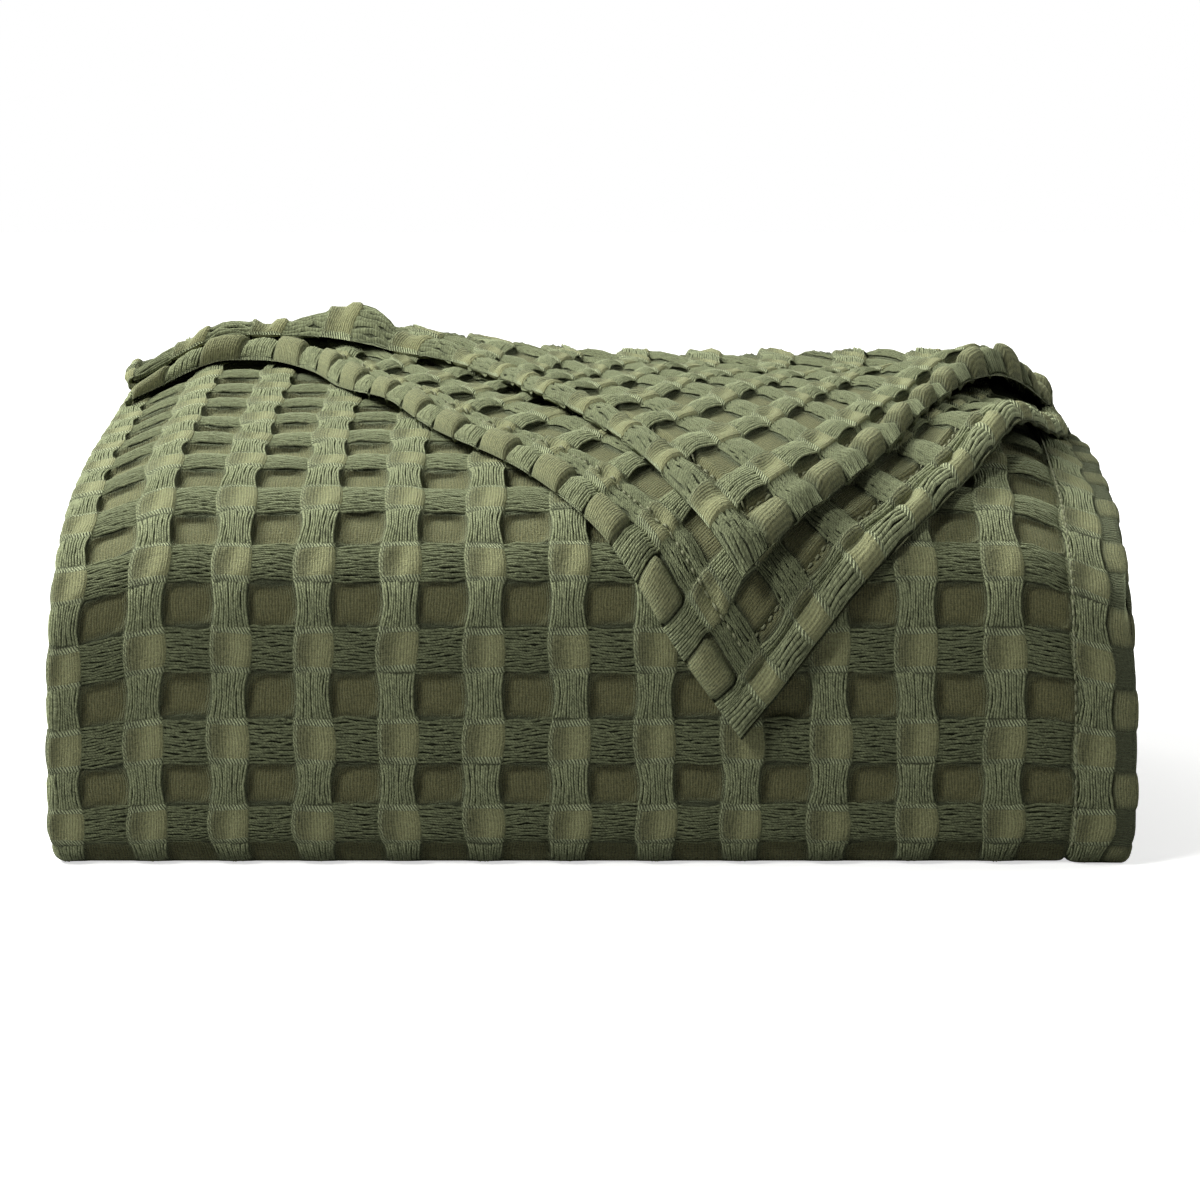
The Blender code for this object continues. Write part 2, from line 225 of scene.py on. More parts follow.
def course(lines_outer, lines_inner, inner_gain=1.0):
    """The doubled cloth's outside, from the outer ply's hem round the left fold to the inner
    ply's hem.

    For each place: x of a centre, its share of the spacing, the way out from it, across and off
    the cloth, the distance, the repeats across, and how much of the weave's depth and of the
    hem's filling it has."""
    rows = []
    hem_x = WIDTH / 2 - PLY / 2
    # the outer ply's hem and face
    for angle in np.linspace(np.pi, 0.15, 7):
        rows.append((hem_x, 0.5, np.sin(angle), np.cos(angle), PLY / 2,
                     SIDE_EDGE + angle * PLY / 2 / REPEAT_ACROSS, 0.3, 0.8))
    for line in lines_outer[::-1]:
        x = across_at(line)
        if -WIDTH / 2 < x < hem_x:
            rows.append((x, 0.5, 0.0, 1.0, PLY / 2, line, *at_side_hem(x)))
    # the left fold
    for angle in np.linspace(0, np.pi, 17):
        rows.append((-WIDTH / 2, 0.0, -np.sin(angle), np.cos(angle), DOUBLED / 2,
                     -LEFT_BEND - angle * DOUBLED / 2 / REPEAT_ACROSS, 0.7, 0.0))
    # the inner ply's face and hem
    last = rows[-1][5]
    for line in lines_inner:
        x = -WIDTH / 2 + line * REPEAT_ACROSS
        if 0.0004 - WIDTH / 2 < x < hem_x:
            rows.append((x, -0.5, 0.0, -1.0, PLY / 2, last - line, inner_gain,
                         float(ease(x, 0.173, 0.188))))
    for angle in np.linspace(0.15, np.pi, 7):
        rows.append((hem_x, -0.5, np.sin(angle), -np.cos(angle), PLY / 2,
                     last - (hem_x + WIDTH / 2) / REPEAT_ACROSS - angle * PLY / 2 / REPEAT_ACROSS,
                     0.3, 0.8))
    return np.array(rows)


SEAM_REPEATS = 11.57                 # where the side hem is stitched
SEAM = across_at(SEAM_REPEATS)
STITCHED = 0.0012                    # half width of the groove that stitches pull in


def hem_roll(x):
    """How far a side hem stands proud of the cloth, with a groove where it is stitched."""
    return 0.0006 * ease(x, SEAM, SEAM + 0.006) - 0.0016 * np.exp(-((x - SEAM) / STITCHED) ** 2)


def strip(places, rows, loose=0.0, hollows=0.0):
    """Points of the doubled cloth's outside for a course and for rows of its middle line.

    rows: depth, height, heading, repeats along, share of the weave's depth"""
    cx, cn, dx, dn, reach, across, gain, filled = (column[None] for column in places.T)
    depth, height, heading, along, relief = (column[:, None] for column in rows.T)
    across, along = np.broadcast_arrays(across, along)
    over, up = wobble(across, along)
    out = reach - weave_depth(across, along, filled, PIT, loose) * gain * relief
    out = out + hem_roll(cx) * (np.abs(cn) > 0.1) - hollows
    x = cx + dx * out + over * np.abs(dn) * (np.abs(cn) > 0.1) * (reach == PLY / 2)
    off = cn * SPACING + dn * out
    depth = depth + np.sin(heading) * off + np.cos(heading) * up * relief
    height = height - np.cos(heading) * off + np.sin(heading) * up * relief
    points = settled(x, depth, height)
    return points.reshape(-1, 3), np.stack((across, along), -1).reshape(-1, 2)


def pass_height(index, depth):
    """Height of the middle of an inner pass; pass -1 is the bottom of the wrap."""
    top = face_line[face_line[:, 2] > 0.0939]     # the face beyond its upright front
    peak = np.interp(REAR - 0.010, top[:, 1], top[:, 2])
    share = (index + 1) / PASSES
    level = DOUBLED / 2 + share * (peak - 2 * DOUBLED - 1.5 * CLEARANCE)
    return level - share * np.minimum(peak - np.interp(depth, top[:, 1], top[:, 2]), 0.013)


def half_turn(depth, low, high, side, count):
    """Rows round a half circle from one height up to another, to the front (-1) or rear (+1)."""
    angle = np.linspace(0, np.pi, count)
    radius = (high - low) / 2
    heading = angle if side > 0 else np.pi - angle
    return np.stack((depth + side * radius * np.sin(angle), low + radius * (1 - np.cos(angle)),
                     heading), -1), (radius + DOUBLED / 2) * angle


def way_at(repeats):
    """Way along the outer face at a number of repeats; the lowest are pressed together."""
    return ROW_ONE + np.where(repeats > 1, REPEAT_ALONG, 0.0300) * (repeats - 1)


wrap_lines = weave_lines(-0.40, (REAR_WAY - ROW_ONE) / REPEAT_ALONG + 1, 1 - SUNK_ALONG, True)[::-1]
wrap_ways = way_at(wrap_lines)
wrap_ways, wrap_lines = wrap_ways[wrap_ways > 0], wrap_lines[wrap_ways > 0]
face_heading = np.interp(wrap_ways, face_line[:, 0], face_line[:, 3]) - np.pi
wrap_rows = np.stack((*on_face(wrap_ways, -DOUBLED / 2), face_heading, wrap_lines,
                      ease(wrap_ways, 0.001, 0.012)), -1)
# the underside is plain and flat, and the wrap ends round the lowest rear turn
under = np.array([(depth, DOUBLED / 2, 0.0, -(depth - 0.012) / REPEAT_ALONG - 0.52, 0.0)
                  for depth in (0.012, 0.060, 0.120, 0.180, 0.240, REAR - 0.001)])
turned, arc = half_turn(REAR, DOUBLED / 2, float(pass_height(0, REAR)), 1, 34)
turned = np.column_stack((turned, under[-1, 3] - arc / REPEAT_ALONG, ease(arc, 0.004, 0.010)))
side_lines = np.sort(np.concatenate((weave_lines(-0.30, SIDE_EDGE, SUNK_ACROSS, True),
                                     SEAM_REPEATS + np.array((-0.08, -0.04, 0.0, 0.04, 0.08)))))
# the inner ply shows only at its ends, so it needs few lines
hidden_lines = np.array((0.25, 0.5, 1.0, 4.0, 8.0, 11.5, 12.2, 12.6))
wrap_course = course(side_lines, hidden_lines, 0.3)
wrap_all = np.concatenate((wrap_rows, under, turned))
wrap_size = (len(wrap_all), len(wrap_course))
# On the face that shows, loose yarns lie on the floats, and the cloth has its creases.
shows = (wrap_course[:, 1] > -0.1) & (wrap_course[:, 5] > -LEFT_BEND - 0.25)
wrap_loose = (np.arange(len(wrap_all)) < len(wrap_rows))[:, None] * shows[None]
# Creases run from x and way to x and way: half width, depth; a negative depth is a ridge
WRAP_CREASES = (
    ((-0.175, 0.150), (-0.080, 0.118), 0.014, 0.0016),
    ((-0.190, 0.060), (-0.120, 0.075), 0.012, 0.0014),
    ((0.165, 0.168), (0.196, 0.110), 0.016, 0.0030),
    ((0.120, 0.030), (0.030, 0.042), 0.016, 0.0012),
    ((-0.050, 0.105), (0.010, 0.085), 0.018, -0.0012),
    ((0.100, 0.100), (0.160, 0.070), 0.016, -0.0012),
    ((-0.150, 0.260), (-0.110, 0.200), 0.014, 0.0016),
    ((-0.060, 0.170), (-0.040, 0.130), 0.012, 0.0012))


def creased(x, way, creases):
    """How far soft troughs let the cloth down at a place."""
    total = 0.0
    for (x0, w0), (x1, w1), half_width, deep in creases:
        along_it = np.clip(((x - x0) * (x1 - x0) + (way - w0) * (w1 - w0))
                           / ((x1 - x0) ** 2 + (w1 - w0) ** 2), 0, 1)
        away = np.hypot(x - x0 - along_it * (x1 - x0), way - w0 - along_it * (w1 - w0))
        total = total + deep * np.exp(-(away / half_width) ** 2)
    return total


wrap_hollows = np.zeros(wrap_size)
wrap_hollows[:len(wrap_rows)] = creased(
    across_at(wrap_course[None, :, 5]), wrap_ways[:, None], WRAP_CREASES) * shows[None]
wrap_points, wrap_weave = strip(wrap_course, wrap_all, wrap_loose, wrap_hollows)
wrap = mesh_piece("wrap", wrap_points, grid_triangles(*wrap_size), wrap_weave,
                  loose=wrap_loose.ravel(), filled=np.tile(wrap_course[:, 7], len(wrap_all)))


# The cotton of all the cloth: two shades of one olive yarn, greyer in the floats and browner in
# the plain squares, with lint, nap and fine ribs.  Painted shade darkens the sunk squares, the
# level floats, the gaps between yarns, the cloth under the loose yarns, the crevices and the sunk
# squares' walls, and the raised squares carry painted light and shade of their dish.  Node groups
# find the squares, the yarns and the lint from the weave map, which holds each place in repeats
# of the weave.

GROUND = (0.160, 0.160, 0.080, 1.0)
# the sunk squares' colour: their browner ground, darkened further by painted shade
SUNK_GROUND_AND_SHADE = (0.112, 0.104, 0.046, 1.0)
UPRIGHT_YARN = (0.228, 0.250, 0.142, 1.0)
# the level floats' yarn: the upright yarn darkened by painted shade
SHADED_LEVEL_YARN = (0.132, 0.146, 0.080, 1.0)
BINDING_YARN = (0.330, 0.360, 0.215, 1.0)
# painted shade in the gaps between yarns and under the loose yarns
SHADE_BETWEEN_YARNS = (0.044, 0.049, 0.026, 1.0)
BRUSHED = {"Sheen Weight": 0.60, "Sheen Roughness": 0.55, "Sheen Tint": (0.62, 0.70, 0.42, 1.0)}


class Wire:
    """What a shader node puts out.  A sum written with wires makes the nodes that work it out."""

    def __init__(self, socket):
        self.socket, self.tree = socket, socket.id_data

    def __add__(self, other):
        return calculated(self.tree, "ADD", self, other)

    __radd__ = __add__

    def __sub__(self, other):
        return calculated(self.tree, "SUBTRACT", self, other)

    def __rsub__(self, other):
        return calculated(self.tree, "SUBTRACT", other, self)

    def __mul__(self, other):
        return calculated(self.tree, "MULTIPLY", self, other)

    def through(self, operation, *others):
        return calculated(self.tree, operation, self, *others)


def node(tree, kind, inputs=(), **settings):
    """A shader node with its settings and inputs; an input is a value or a wire."""
    made = tree.nodes.new(kind)
    for name, value in settings.items():
        setattr(made, name, value)
    for key, value in dict(inputs).items():
        if isinstance(value, Wire):
            tree.links.new(value.socket, made.inputs[key])
        else:
            made.inputs[key].default_value = value
    return made


def wire(tree, kind, inputs=(), output=0, **settings):
    return Wire(node(tree, kind, inputs, **settings).outputs[output])


def calculated(tree, operation, *values):
    return wire(tree, "ShaderNodeMath", dict(enumerate(values)), operation=operation)


def fade(value, low, high):
    """0 below low, 1 above high, eased between them."""
    return wire(value.tree, "ShaderNodeMapRange", {0: value, 1: low, 2: high, 3: 0.0, 4: 1.0},
                interpolation_type="SMOOTHSTEP")


def blend(share, first, second):
    """The first colour, or by a share the second one."""
    return wire(share.tree, "ShaderNodeMix", {0: share, 6: first, 7: second}, 2,
                data_type="RGBA", blend_type="MIX")


def split(place):
    """How far across and along the weave a place is."""
    both = node(place.tree, "ShaderNodeSeparateXYZ", {0: place}).outputs
    return Wire(both[0]), Wire(both[1])


def joined(across, along):
    return wire(across.tree, "ShaderNodeCombineXYZ", {0: across, 1: along})


def noise(place, scale, detail, roughness=0.5, dimensions="2D", output=0):
    return wire(place.tree, "ShaderNodeTexNoise", {
        "Vector": place, "Scale": scale, "Detail": detail, "Roughness": roughness}, output,
        noise_dimensions=dimensions)


def start_group(name, numbers):
    """A node group, and wires from its weave map and from the numbers that each user sets."""
    group = bpy.data.node_groups.new(name, "ShaderNodeTree")
    group.interface.new_socket("Weave", in_out="INPUT", socket_type="NodeSocketVector")
    for label, value in numbers.items():
        socket = group.interface.new_socket(label, in_out="INPUT", socket_type="NodeSocketFloat")
        socket.default_value = value
    given = group.nodes.new("NodeGroupInput").outputs
    return group, *(Wire(given[label]) for label in ("Weave", *numbers))


def end_group(group, results):
    for label in results:
        group.interface.new_socket(label, in_out="OUTPUT", socket_type="NodeSocketFloat")
    node(group, "NodeGroupOutput", results)


def new_material(name, looks):
    """A material, its node tree and its shader's inputs."""
    material = bpy.data.materials.new(name)
    material.use_nodes = True
    shader = material.node_tree.nodes["Principled BSDF"].inputs
    for label, value in looks.items():
        shader[label].default_value = value
    return material, material.node_tree, shader


def shaded(tone, shade):
    return wire(tone.tree, "ShaderNodeVectorMath", {0: tone, 3: shade}, operation="SCALE")


def colour_and_relief(shader, tone, height, strength, distance):
    bump = wire(tone.tree, "ShaderNodeBump", {
        "Strength": strength, "Distance": distance, "Height": height})
    tone.tree.links.new(tone.socket, shader["Base Color"])
    tone.tree.links.new(bump.socket, shader["Normal"])


# Which part of the weave a place is in.  The sunk squares stand in columns and rows.
cells, weave, softness = start_group("waffle_cells", {"Softness": 0.02})
across, along = split(weave)
off_column = (across + (20 - SUNK_ACROSS / 2)).through("PINGPONG", 0.5)
off_row = (along + (20 + SUNK_ALONG / 2)).through("PINGPONG", 0.5)
past_column, past_row = (fade(off, half - softness, half + softness) for off, half in (
    (off_column, SUNK_ACROSS / 2), (off_row, SUNK_ALONG / 2)))
in_column, in_row = 1.0 - past_column, 1.0 - past_row
raised = past_column * past_row
from_binding = (off_row - (SUNK_ALONG / 2 + 0.036)).through("ABSOLUTE")
# painted shade in the crevices along the sunk squares' edges
from_rim = (off_column - SUNK_ACROSS / 2).through("ABSOLUTE").through(
    "MINIMUM", (off_row - SUNK_ALONG / 2).through("ABSOLUTE"))
# painted shade on the walls just inside the sunk squares
inside = (SUNK_ACROSS / 2 - off_column).through("SMOOTH_MIN", SUNK_ALONG / 2 - off_row, 0.10)
# the frame lies outside a rounded square, a little right of the raised square's middle
from_middle = (across + (20 - SUNK_ACROSS / 2 - 0.5 - 0.030)).through("PINGPONG", 0.5)
aside = (from_middle - 0.080).through("MAXIMUM", 0.0)
up_down = (0.5 - off_row - 0.115).through("MAXIMUM", 0.0)
from_square = (aside * aside + up_down * up_down).through("SQRT")
# painted light and shade: a raised square is painted darker at the left and lighter at the right, as
# its dish is lit from the left
from_left = (across - (SUNK_ACROSS - 20)).through("FRACT")
end_group(cells, {
    "Sunk": in_column * in_row, "Raised": raised, "Upright": past_column * in_row,
    "Level": in_column * past_row,
    "Binding": past_column * (1.0 - fade(from_binding, 0.030, 0.046)),
    "Crevice shade": 1.0 - fade(from_rim, 0.0, 0.035), "Pit wall shade": 1.0 - fade(inside, -0.02, 0.10),
    "Frame": raised * fade(from_square, 0.108, 0.132),
    "Dish light and shade": raised * (fade(from_left, 0.08, 0.30) - 0.45)})

# Wavy yarns side by side across the weave, as a height from 0 between them to 1 on their crests.
yarns, weave, lines, waviness, wave_length = start_group(
    "yarn_lines", {"Lines": 28.0, "Waviness": 0.6, "Wave length": 2.0})
across, along = split(weave)
drift = noise(joined(across * 9.0, along * wave_length), 1.0, 3.0, dimensions="3D")
ripple = ((across * lines + drift * waviness) * (2 * math.pi)).through("SINE")
end_group(yarns, {"Height": ripple * 0.5 + 0.5})

# Lint: the short fibre ends that stand off the cloth and off its loose yarns alike, as a height.
fibre_ends, weave, scale = start_group("lint", {"Scale": 26.0})
end_group(fibre_ends, {"Height": noise(weave, scale, 5.0, 0.75)})

cotton, tree, shader = new_material(
    "waffle_cotton", {"Roughness": 0.92, "Specular IOR Level": 0.18, **BRUSHED})
weave = wire(tree, "ShaderNodeUVMap", uv_map="weave")
fray = wire(tree, "ShaderNodeVectorMath", {
    0: noise(weave, 46.0, 3.0, output="Color"), 1: (0.5, 0.5, 0.5)}, operation="SUBTRACT")
frayed = wire(tree, "ShaderNodeVectorMath", {
    0: fray, 1: (0.028, 0.028, 0.0), 2: weave}, operation="MULTIPLY_ADD")
found = node(tree, "ShaderNodeGroup", {"Weave": frayed, "Softness": 0.016}, node_tree=cells).outputs
sunk, raised, upright, level, binding, rim, pit_wall_shade, border, dish_light_and_shade = (Wire(found[label]) for label in (
    "Sunk", "Raised", "Upright", "Level", "Binding", "Crevice shade", "Pit wall shade", "Frame", "Dish light and shade"))


def height_from(group, place, numbers):
    """The height that a group puts out at a place, with a material's own numbers."""
    return wire(place.tree, "ShaderNodeGroup", {"Weave": place, **numbers}, "Height", node_tree=group)


def yarn_lines(place, count, waviness, wave_length):
    return height_from(yarns, place, {
        "Lines": count, "Waviness": waviness, "Wave length": wave_length})


across, along = split(weave)
crossed = joined(along, across)
upright_yarns = yarn_lines(weave, 28.0, 1.5, 5.0)
level_yarns = yarn_lines(crossed, 24.0, 3.0, 4.0)
ribs = yarn_lines(weave, 33.0, 1.6, 3.0)
picks = yarn_lines(crossed, 37.0, 1.6, 3.0)
binding_yarns = yarn_lines(joined(across + along * 0.55, along), 28.0, 0.5, 3.0)
fuzz = noise(weave, 62.0, 4.0, 0.7)
lint = height_from(fibre_ends, weave, {"Scale": 26.0})
patch = noise(weave, 1.3, 3.0)
filled = wire(tree, "ShaderNodeAttribute", (), "Fac", attribute_name="filled")
loose = wire(tree, "ShaderNodeAttribute", (), "Fac", attribute_name="loose")
# painted shade in the gaps between the binding's yarns, and below between the floats' yarns
binding_tone = blend(fade(binding_yarns, 0.2, 0.6), SHADE_BETWEEN_YARNS, BINDING_YARN)
# the sunk squares: browner ground and painted shade
tone = blend(sunk * (1.0 - filled), GROUND, SUNK_GROUND_AND_SHADE)
tone = blend(upright, tone, blend(fade(upright_yarns, 0.05, 0.75), SHADE_BETWEEN_YARNS, UPRIGHT_YARN))
# the level floats: their yarn painted darker, as shade
tone = blend(level, tone, blend(fade(level_yarns, 0.0, 0.9), SHADE_BETWEEN_YARNS, SHADED_LEVEL_YARN))
# painted shade: the cloth under the loose yarns
tone = blend(upright.through("MAXIMUM", level) * loose, tone, SHADE_BETWEEN_YARNS)
tone = blend(binding, tone, binding_tone)
tone = blend(border * 0.55, tone, binding_tone)
grain = (ribs * 0.42 + picks * 0.12) * (sunk + raised)
# painted shade in the crevices, deeper in the hems, and on the sunk squares' walls, with the raised
# squares' painted light and shade
shade = (-1.25 + fuzz * 1.70 + lint * 2.40 + grain * 1.5 + dish_light_and_shade * 0.85 + (patch - 0.5) * 0.35
         - rim * (0.14 + filled * 0.22)) * (1.0 - sunk * pit_wall_shade * 0.70)
height = (upright_yarns * upright + level_yarns * level + binding_yarns * binding * 1.8
          + grain * 1.6 + fuzz * 1.2 + lint * 2.2)
colour_and_relief(shader, shaded(tone, shade), height, 0.9, 0.0006)


def made_of(material, *pieces):
    """Gives pieces their material.  All ride on the one body and stand for the blanket."""
    for piece in pieces:
        piece.data.materials.append(material)
        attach(piece, "root")
        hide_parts("blanket")


made_of(cotton, wrap)


# The loose yarns of the wrap: each float is a bundle of soft cotton yarns that lie free between
# the squares, twisted of two plies and brushed, each of a shade of its own.  They are woven in
# at both ends, and are made only where the wrap shows.

# x and way where the flap begins to hide the wrap
HIDDEN_FROM = ((-0.200, 0.400), (-0.146, 0.390), (-0.105, 0.330), (-0.060, 0.235), (0.000, 0.155),
               (0.053, 0.075), (0.118, 0.160), (0.143, 0.205), (0.166, 0.275), (0.187, 0.340),
               (0.200, 0.400))


def on_wrap(across, along, lift):
    """Points off the wrap's crest at places in repeats, also round its left fold."""
    over, up = wobble(across, along)
    way = way_at(along) + up
    lift = lift - creased(across_at(across), way, WRAP_CREASES)
    bend = np.clip((-LEFT_BEND - across) * REPEAT_ACROSS / (DOUBLED / 2), 0, np.pi)
    x = np.where(bend > 0, -WIDTH / 2 - np.sin(bend) * (DOUBLED / 2 + lift), across_at(across) + over)
    lift = np.where(bend > 0, (DOUBLED / 2 + lift) * np.cos(bend) - DOUBLED / 2, lift)
    return settled(x, *on_face(way, lift))


def float_yarns(name, columns, rows, spot, depth, kept, seed):
    """The loose yarns of the floats, upright ones and level ones, each a small arched tube.

    At places in repeats, spot gives the points at a lift, depth how deep the floats lie there,
    and kept whether a yarn is made."""
    chance = np.random.default_rng(seed)
    # a yarn's section, the places of its rings, and how far each dips into the cloth
    ring = np.array(((-1.0, -0.5), (-0.62, 0.72), (0.62, 0.72), (1.0, -0.5))) * FLOAT_YARN * 0.72
    stations = np.array((0.0, 0.10, 0.30, 0.50, 0.70, 0.90, 1.0))
    dive = np.array((0.0012, 0.0002, 0.0, 0.0, 0.0, 0.0002, 0.0012))
    points, places, count = [], [], 0
    for upright, across_count, swing in ((True, 13, 0.00022), (False, 16, 0.00055)):
        k, j, i = (v.ravel() for v in np.meshgrid(columns, rows, np.arange(across_count),
                                                  indexing="ij"))
        share = (i + 0.5 + chance.uniform(-0.16, 0.16, len(i))) / across_count
        if upright:
            start_a = end_a = k + SUNK_ACROSS + 0.010 + (0.98 - SUNK_ACROSS) * share
            start_b, end_b = j - SUNK_ALONG - 0.035 + 0 * share, j + 0.035 + 0 * share
        else:
            start_a, end_a = k - 0.030 + 0 * share, k + SUNK_ACROSS + 0.030 + 0 * share
            start_b = end_b = j + 0.015 + (0.97 - SUNK_ALONG) * share
        good = kept((start_a + end_a) / 2, (start_b + end_b) / 2)
        start_a, end_a, start_b, end_b = (v[good, None] for v in (start_a, end_a, start_b, end_b))
        t = stations[None]
        phase = chance.uniform(0, 2 * np.pi, (3, len(start_a), 1))
        swings = swing * (0.6 * np.sin(7.5 * t + phase[0]) + 0.4 * np.sin(15.0 * t + phase[1]))
        across, along = start_a + (end_a - start_a) * t, start_b + (end_b - start_b) * t
        if upright:
            across = across + swings / REPEAT_ACROSS
        else:
            along = along + swings / REPEAT_ALONG
        rise = -depth(across, along) + 0.00012 * np.sin(9.0 * t + phase[2]) - dive
        beside = ring[None, None, :, 0]
        a4 = across[:, :, None] + (beside / REPEAT_ACROSS if upright else 0 * beside)
        b4 = along[:, :, None] + (0 * beside if upright else beside / REPEAT_ALONG)
        points.append(spot(a4, b4, rise[:, :, None] + ring[None, None, :, 1] + 0.00015).reshape(-1, 3))
        number = np.arange(len(start_a))[:, None, None] + count + (0 if upright else 0.5)
        side = np.arange(4)[None, None] / 3 + 0 * number + 0 * t[:, :, None]
        places.append(np.stack((2 * number + 0.8 * side,
                                0 * side + t[:, :, None] * 16.0), -1).reshape(-1, 2))
        count += len(start_a)
    one = grid_triangles(len(stations), 4)
    triangles = (one[None] + np.arange(count)[:, None, None] * len(stations) * 4).reshape(-1, 3)
    return mesh_piece(name, np.concatenate(points), triangles, np.concatenate(places))


def wrap_face_depth(across, along):
    gain, filled = at_side_hem(across_at(across))
    return weave_depth(across, along, filled) * gain - hem_roll(across_at(across))


def on_wrap_face(across, along):
    way = way_at(along)
    hidden = np.interp(across_at(across), *zip(*HIDDEN_FROM))
    return (across > -LEFT_BEND - 0.15) & (across < SIDE_EDGE - 0.12) & (way > 0.006) & (way < hidden)


wrap_floats = float_yarns("wrap_floats", np.arange(-1, 13), np.arange(0, 13), on_wrap,
                          wrap_face_depth, on_wrap_face, 21)

# A loose yarn's map holds its number across, odd for a level yarn, and the way along it.
loose_yarn, tree, shader = new_material(
    "float_yarn", {"Roughness": 0.95, "Specular IOR Level": 0.12, **BRUSHED})
run = wire(tree, "ShaderNodeUVMap", uv_map="weave")
across, along = split(run)
strand = across.through("FLOOR")
own_shade = noise(joined(strand * 0.37, along * 0.11), 6.1, 1.0)
# a level loose yarn is painted darker than an upright one, as shade
tone = blend(fade(strand.through("MODULO", 2.0), 0.4, 0.6), UPRIGHT_YARN, SHADED_LEVEL_YARN)
twist = (along * 5.6 + across * 5.0).through("SINE")
lint = height_from(fibre_ends, run, {"Scale": 1.6})
shade = 0.30 + own_shade * 1.10 + twist * 0.10 + (lint - 0.5) * 1.5
colour_and_relief(shader, shaded(tone, shade), twist * 0.3 + lint, 0.8, 0.0003)
made_of(loose_yarn, wrap_floats)


# The inner folds: the doubled cloth going back and forth inside the wrap.  They show at the
# left as folds, at the right as pairs of hemmed edges and at the back as soft round turns.

# How far each rear turn stands back from the rearmost one
REAR_SETBACKS = (0.000, 0.007, 0.002, 0.005, 0.001, 0.008)


def turn_depth(index):
    """Depth of the turn before an inner pass: even ones are at the rear, and odd ones come as
    near to the wrap's inner face as its clearance lets them."""
    if index % 2 == 0 and index < PASSES:
        return REAR - REAR_SETBACKS[index // 2]
    depth = REAR / 2
    while True:
        low, high = (float(pass_height(k, depth)) for k in (index - 1, min(index, PASSES - 1)))
        reach = (high - low) / 2 + 1.5 * DOUBLED + CLEARANCE
        if np.hypot(face_line[:, 1] - depth, face_line[:, 2] - (low + high) / 2).min() < reach:
            return depth
        depth -= 0.0005


ends_outer = weave_lines(-0.30, SIDE_EDGE, SUNK_ACROSS, False)
ends_outer = ends_outer[(ends_outer < 0.9) | (ends_outer > 11.4)]
ends_inner = weave_lines(0.02, 12.75, SUNK_ACROSS, False)
ends_inner = ends_inner[(ends_inner < 0.9) | (ends_inner > 11.9)]
end_course = course(ends_outer, ends_inner)
turn_course = course(weave_lines(-0.30, SIDE_EDGE, SUNK_ACROSS, True), hidden_lines)
fold_points, fold_triangles, fold_weave, count = [], [], [], 0
travelled = 7.3                      # repeats along the cloth
for index in range(PASSES):
    start, end = turn_depth(index), turn_depth(index + 1)
    side = 1 if index % 2 == 0 else -1
    parts = []
    if index:
        turned, arc = half_turn(start, float(pass_height(index - 1, start)),
                                float(pass_height(index, start)), side, 30 if side > 0 else 7)
        parts.append((turn_course if side > 0 else end_course, np.column_stack(
            (turned, travelled + arc / REPEAT_ALONG, np.ones(len(arc))))))
        travelled += arc[-1] / REPEAT_ALONG
    length = abs(end - start) / REPEAT_ALONG
    lines = weave_lines(travelled, travelled + length, 1 - SUNK_ALONG, False)
    depth = start + (end - start) * (lines - travelled) / length
    rise = pass_height(index, depth + 0.002) - pass_height(index, depth - 0.002)
    parts.append((end_course, np.column_stack((
        depth, pass_height(index, depth), np.arctan2(rise, 0.004) + (np.pi if side > 0 else 0.0),
        lines, np.ones(len(lines))))))
    travelled += length
    for places, rows in parts:
        points, place = strip(places, rows)
        fold_triangles.append(grid_triangles(len(rows), len(places), count))
        fold_points.append(points)
        fold_weave.append(place)
        count += len(points)
folds = mesh_piece("inner_folds", np.concatenate(fold_points), np.concatenate(fold_triangles),
                   np.concatenate(fold_weave))
made_of(cotton, folds)


# The stitching: a row of lockstitches in plied cotton thread inside each hem.  The wrap's row
# runs along its right side; a ply of the flap has one along its side and one along its end.

THREAD_DARK, THREAD_LIGHT = (0.150, 0.160, 0.090, 1.0), (0.300, 0.315, 0.195, 1.0)

thread, tree, shader = new_material("sewing_thread", {"Roughness": 0.7, "Specular IOR Level": 0.25})
twist = wire(tree, "ShaderNodeTexNoise", {"Scale": 900.0, "Detail": 2.0})
colour_and_relief(shader, blend(twist, THREAD_DARK, THREAD_LIGHT), twist, 0.5, 0.0002)


def stitches(name, line, length, gap=0.0041, long=0.0030, thick=0.00055):
    """A row of stitches; line gives the points at a way along it, a side step and a rise."""
    middles = np.arange(0.003, length - 0.003, gap)[:, None, None]
    t = np.linspace(-0.5, 0.5, 5)[None, :, None]
    angle = (np.arange(5) * 2 * np.pi / 5)[None, None]
    girth = thick * np.sqrt(np.maximum(1 - (2 * t) ** 4, 0.02))
    points = line(middles + t * long + 0 * angle, girth * np.cos(angle) + 0 * middles,
                  girth * np.sin(angle) + 0.00025 - 0.0005 * (2 * t) ** 4 + 0 * middles)
    # a stitch has five rings of five points, and is closed at its ends
    k, i = np.meshgrid(np.arange(4), np.arange(5), indexing="ij")
    a, b = (k * 5 + i).ravel(), (k * 5 + (i + 1) % 5).ravel()
    one = np.concatenate((np.stack((a, a + 5, b), 1), np.stack((b, a + 5, b + 5), 1),
                          ((0, 1, 2), (0, 2, 3), (0, 3, 4)),
                          ((20, 22, 21), (20, 23, 22), (20, 24, 23))))
    triangles = (one[None] + np.arange(len(middles))[:, None, None] * 25).reshape(-1, 3)
    points = points.reshape(-1, 3)
    piece = mesh_piece(name, points, triangles, points[:, :2])
    made_of(thread, piece)
    return piece


def on_seam(way, aside, rise):
    return settled(SEAM + aside + 0.0003 * np.sin(60 * way), *on_face(0.012 + way, rise - 0.0014))


wrap_stitches = stitches("wrap_stitches", on_seam, REAR_WAY - 0.016)


# The flap: the free end of the doubled cloth, brought forward over the top.  Each ply is hemmed
# along its side and its end, over a rolled edge, and hangs down the front by its corner.

